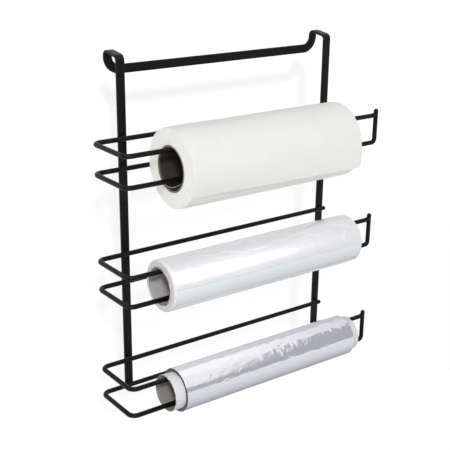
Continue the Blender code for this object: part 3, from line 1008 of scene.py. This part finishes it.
# Creases on the foil, in the terms of creases_near.
FOIL_CREASES = (
    (-20, 84, -12, 62, 0.16, 0.9), (-13, 80, -2, 60, 0.14, 0.8),
    (-6, 82, 6, 58, -0.14, 0.9), (2, 78, 12, 50, 0.20, 0.9),
    (8, 72, 22, 54, 0.16, 0.8), (14, 62, 30, 52, -0.16, 0.9),
    (18, 58, 20, 44, 0.16, 0.8), (24, 48, 44, 36, 0.20, 0.9),
    (30, 46, 52, 44, -0.12, 1.0), (12, 31, 25, 22, 0.16, 0.8),
    (14, 50, 19, 4, 0.13, 0.7), (19, 4, 20, -32, 0.08, 0.7),
    (-30, 60, 0, 52, 0.16, 1.2), (-60, 50, -24, 45, 0.14, 1.1),
    (-98, 52, -70, 49, 0.18, 1.2), (-84, 43, -62, 40, -0.14, 1.1),
    (66, 52, 84, 38, 0.18, 1.0), (74, 44, 96, 47, -0.14, 1.0),
    (84, 36, 104, 42, 0.14, 0.9), (96, 60, 116, 48, 0.14, 1.0),
    (40, 62, 70, 58, 0.16, 1.3), (50, 74, 62, 50, 0.20, 1.0),
    (-46, 82, -38, 56, 0.16, 1.1), (-110, 78, -88, 70, 0.14, 1.4),
)


def crushed(place):
    """Flat facets that lean at random, as crushed foil has, about one unit wide."""
    sharpness = 26
    distances, centres = noise.voronoi(place)
    height = weights = 0
    for distance, centre in zip(distances, centres):
        weight = exp(-sharpness * (distance - distances[0]))
        height += weight * (place - centre).dot(noise.noise_vector(centre * 3.7))
        weights += weight
    return height / weights


def foil_relief(x, angle):
    """Facets, creases and soft dents of the foil's outer turn, in metres."""
    place = Vector((x, NOISE_RADIUS * cos(angle), NOISE_RADIUS * sin(angle)))
    dents = noise.noise(place / (16 * MM) + Vector((3, 1, 4)))
    # Facets are long and narrow at the left, and short where hands tore the foil off.
    length = LEFT_FACET_LENGTH if x < 0 else RIGHT_FACET_LENGTH
    wide = crushed(Vector((x / length, place.y / WIDE_FACET, place.z / WIDE_FACET)))
    small = crushed(
        Vector((1.6 * x / length, place.y / SMALL_FACET, place.z / SMALL_FACET))
        + Vector((5, 9, 2))
    )
    # They are deepest in a band 66 degrees above the front, at 18 mm and past 80 mm.
    upper = exp(-(((angle + radians(66)) / radians(20)) ** 2))
    handled = exp(-(((x - 18 * MM) / (22 * MM)) ** 2)) + smooth_step(x / (20 * MM) - 4)
    share = 0.12 + upper * (0.24 + 0.70 * handled)
    drawn = crease_height(x, angle, foil.outer, FOIL_CREASES)
    return drawn + MM * (0.06 * dents + (1.5 * wide + 0.30 * small) * share - 0.30)


def turn_foil_roll():
    """The foil, crumpled a little on its outside by hands that pulled it."""
    bm = wind_turns(
        foil, rim=0.5 * MM, rim_steps=4, pitch=0.34 * MM, depth=0.14 * MM,
        seeds=(3.0, 8.0), spacing=0.75 * MM, sides=210, centre=FOIL_MIDDLE,
    )
    press_relief(bm, foil, foil_relief)
    finish_winding(
        "foil_turns", bm, foil, [bright_foil, shaded_foil_edges], 0.7, sharp=60
    )


turn_foil_roll()


# Stage, light and view
def stage_object(name, bm, material):
    """An object of the stage, which is no part of the roll holder."""
    made = new_object(name, bm, [material])
    return made


def stage_plane(name, size, matrix, material):
    """A flat square of the stage, reaching size to each side."""
    bm = bmesh.new()
    bmesh.ops.create_grid(bm, x_segments=1, y_segments=1, size=size, matrix=matrix)
    return stage_object(name, bm, material)


def show_from_front(material, front):
    """Give a stage material a shader on its front, and leave its back clear."""
    tree = material.node_tree
    tree.nodes.remove(tree.nodes["Principled BSDF"])
    behind = add_node(tree, "NewGeometry", output="Backfacing")
    clear = add_node(tree, "BsdfTransparent")
    both = add_node(tree, "MixShader", {0: behind, 1: front, 2: clear})
    fill_inputs(tree, tree.nodes["Material Output"], {"Surface": both})
    return material


def seen_directly(add):
    """1 for camera, mirror and glass rays, and 0 for the light that falls on things."""
    rays = add("LightPath").node.outputs
    seen = rays["Is Camera Ray"]
    for ray in ("Is Glossy Ray", "Is Transmission Ray"):
        seen = add("Math", {0: seen, 1: rays[ray]}, operation="MAXIMUM")
    return seen


def white_stage(name, glow, light_given, shade):
    """Pale paint that shows as white and keeps soft shadows. Clear from its back."""
    material, add = new_material(name)
    lit = add("BsdfDiffuse", {"Color": (shade, shade, shade, 1)})
    strength = add("MapRange", {0: seen_directly(add), 3: light_given, 4: glow})
    own = add("Emission", {"Strength": strength})
    return show_from_front(material, add("AddShader", {0: lit, 1: own}))


WALL_Y = 0.12
FLOOR_Z = -0.62
STAGE_REACH = 2
backdrop_white = white_stage("white_backdrop_paint", 0.79, 0.12, 0.20)
floor_white = white_stage("white_floor_paint", 0.82, 0.28, 0.32)
upright = Matrix.Rotation(QUARTER_TURN, 4, "X")
wall_place = Matrix.Translation((0, WALL_Y, FLOOR_Z + STAGE_REACH)) @ upright
floor_place = Matrix.Translation((0, WALL_Y - STAGE_REACH, FLOOR_Z))
stage_plane("backdrop", STAGE_REACH, wall_place, backdrop_white)
stage_plane("floor", STAGE_REACH, floor_place, floor_white)

# Cards that only reflections see. They give the foil a studio's lighter and darker bands.
# Light from the foil's middle drifts to the right by RAY_DRIFT of its way to a card.
CARD_WIDTH = 3.2
RAY_DRIFT = 0.668
SLANT_REACH = 0.14


def reflection_card(
    name, low, high, reach, low_hex, high_hex, slant=0, along=None, strength=1.0
):
    """A card that curves past the foil, from one angle above its front to another.

    Angles are in degrees. The upper edge rises to the right by slant degrees a metre. The
    colours run from low to high, or from one place to another along the card.
    """
    low, high, slant = radians(low), radians(high), radians(slant)
    material, add = new_material(f"{name}_paint")
    place = add("TexCoord", output="Object")
    parts = add("SeparateXYZ", {0: place}).node.outputs
    edges = [foil.axis.y - reach * cos(angle) for angle in (low, high)]
    ramp, ends = (parts["X"], along) if along else (parts["Y"], edges)
    share = add("MapRange", {0: ramp, 1: ends[0], 2: ends[1]})
    tone = add("Mix", {0: share, 6: low_hex, 7: high_hex}, **COLOURS)
    glow = add("Emission", {"Color": tone, "Strength": strength})
    bm = bmesh.new()
    bmesh.ops.create_grid(bm, x_segments=40, y_segments=24, size=0.5)
    for point in bm.verts:
        x, share = point.co.x * CARD_WIDTH, point.co.y + 0.5
        aside = min(max(x - reach * RAY_DRIFT, -SLANT_REACH), SLANT_REACH)
        turn = low + share * (high - low + slant * aside)
        point.co = polar_point(x, reach, -turn, foil.axis)
    face_outwards(bm, foil.axis)
    bmesh.ops.reverse_faces(bm, faces=bm.faces[:])
    card = stage_object(name, bm, show_from_front(material, glow))
    card.visible_camera = False
    card.visible_diffuse = False
    card.visible_shadow = False
    card.visible_transmission = False


reflection_card("front_card", -2, 55, 1.2, "#b5b6bd", "#b5b6bd", slant=230)
reflection_card("under_card", -118, -5, 0.22, "#909197", "#ecedf0")
reflection_card(
    "top_card", 72, 113, 0.068, "#ffffff", "#dedee3", along=(-0.02, 0.15), strength=1.1
)
reflection_card("rear_card", 113.5, 165, 0.068, "#e3e3e6", "#d0d0d5", along=(-0.10, 0.15))


def chosen_objects(collection, names):
    """A collection of objects for a lamp to light, or to be shaded by."""
    chosen = bpy.data.collections.new(collection)
    for name in names:
        chosen.objects.link(bpy.data.objects[name])
    return chosen


def lamp(name, at, target, size, power, lit, shading=None):
    """A soft box that lights a collection, which another one may shade."""
    light = bpy.data.lights.new(name, "AREA")
    light.shape = "RECTANGLE"
    light.size, light.size_y = size
    light.energy = power
    holder = bpy.data.objects.new(name, light)
    holder.location = at
    aim = Vector(target) - Vector(at)
    holder.rotation_euler = aim.to_track_quat("-Z", "Y").to_euler()
    bpy.context.scene.collection.objects.link(holder)
    holder.light_linking.receiver_collection = lit
    if shading:
        holder.light_linking.blocker_collection = shading
    return holder


# The key and the fill leave the backdrop out. It has a lamp of its own near the key's way,
# and only the steel rack casts a shadow in it, so that the backdrop stays clean.
all_but_backdrop = chosen_objects("all_but_backdrop", ["backdrop"])
all_but_backdrop.collection_objects[0].light_linking.link_state = "EXCLUDE"
only_backdrop = chosen_objects("only_backdrop", ["backdrop"])
bent_names = [piece.name for piece in bpy.data.objects if piece.name.startswith("bent_")]
rack_pieces = chosen_objects("rack_pieces", bent_names)
MIDDLE = Vector((0, -0.05, -0.19))
KEY_DISTANCE = 2.2
WALL_LIGHT_DISTANCE = 4.0
key_at = MIDDLE - Vector((0.633, 1.0, -0.747)).normalized() * KEY_DISTANCE
lamp("key_light", key_at, MIDDLE, (0.26, 0.26), 20.5, all_but_backdrop)
lamp(
    "left_fill", (-1.5, -0.35, 0.35), (-0.1, -0.05, -0.19), (0.9, 0.9), 2.5, all_but_backdrop
)
wall_light_at = MIDDLE - Vector((0.55, 1.0, -0.63)).normalized() * WALL_LIGHT_DISTANCE
lamp("wall_light", wall_light_at, MIDDLE, (0.36, 0.36), 149, only_backdrop, rack_pieces)

# Three fills open the shade on the paper: at its left end, under its loose sheet and at
# its upper right.
paper_sheets = chosen_objects("paper_sheets", ["paper_tight_turns", "paper_loose_turn"])
for name, at, target, size, power in (
    ("paper_end_fill", (-1.5, -0.10, -0.25), paper.axis, (0.8, 0.8), 4.4),
    ("paper_under_fill", (0.25, -0.20, -0.60), (0.05, -0.07, -0.13), (0.7, 0.4), 1.2),
    ("paper_upper_fill", (0.90, -0.50, 0.70), paper.axis, (0.6, 0.6), 2.3),
):
    fill = lamp(name, at, target, size, power, paper_sheets, paper_sheets)
    fill.visible_camera = False
    fill.visible_glossy = False


def film_soft_box():
    """The film's long highlight, from a turned oval soft box that only it reflects."""
    rise, turn = radians(37), radians(12)
    sideways, forwards = 0.578, 0.816
    shift = Vector((-0.155, 0, 0))
    away = Vector((sideways, -forwards * cos(rise), forwards * sin(rise)))
    at = film.axis + away + shift
    target = at - Vector((0, away.y, away.z))
    film_pieces = chosen_objects("film_pieces", ["film_turns", "film_outer_turn"])
    box = lamp("film_soft_box", at, target, (0.45, 0.94), 5.4, film_pieces)
    box.data.shape = "ELLIPSE"
    box.rotation_euler.rotate_axis("Z", turn)
    box.visible_diffuse = False


film_soft_box()

WORLD_LEVEL = 0.58
world = bpy.data.worlds.new("pale_studio")
bpy.context.scene.world = world
world.use_nodes = True
air = world.node_tree
add = partial(add_node, air)
level = add("MapRange", {0: seen_directly(add), 3: WORLD_LEVEL})
fill_inputs(air, air.nodes["Background"], {"Color": (1, 1, 1, 1), "Strength": level})

# The camera, fitted to the rack's edges in the photograph, in an image 450 pixels wide.
IMAGE_SIZE = 450
FOCAL_PIXELS = 960.9
CENTRE_U, CENTRE_V = 230.03, 250.21
CAMERA_AT = Vector((-0.62016, -0.84274, 0.15993))
VIEW_AZIMUTH, VIEW_ELEVATION, VIEW_ROLL = radians(-36.506), radians(20.743), radians(0.732)
camera_data = bpy.data.cameras.new("camera")
camera_data.sensor_width = 36
camera_data.lens = FOCAL_PIXELS / IMAGE_SIZE * camera_data.sensor_width
camera_data.shift_x = (IMAGE_SIZE / 2 - CENTRE_U) / IMAGE_SIZE
camera_data.shift_y = (CENTRE_V - IMAGE_SIZE / 2) / IMAGE_SIZE
camera_data.clip_end = 20
camera = bpy.data.objects.new("camera", camera_data)
camera.location = CAMERA_AT
turned = Matrix.Rotation(VIEW_AZIMUTH, 3, "Z")
raised = Matrix.Rotation(QUARTER_TURN - VIEW_ELEVATION, 3, "X")
rolled = Matrix.Rotation(VIEW_ROLL, 3, "Z")
camera.rotation_euler = (turned @ raised @ rolled).to_euler()
bpy.context.scene.collection.objects.link(camera)
bpy.context.scene.camera = camera

bpy.context.scene.view_settings.view_transform = "Standard"
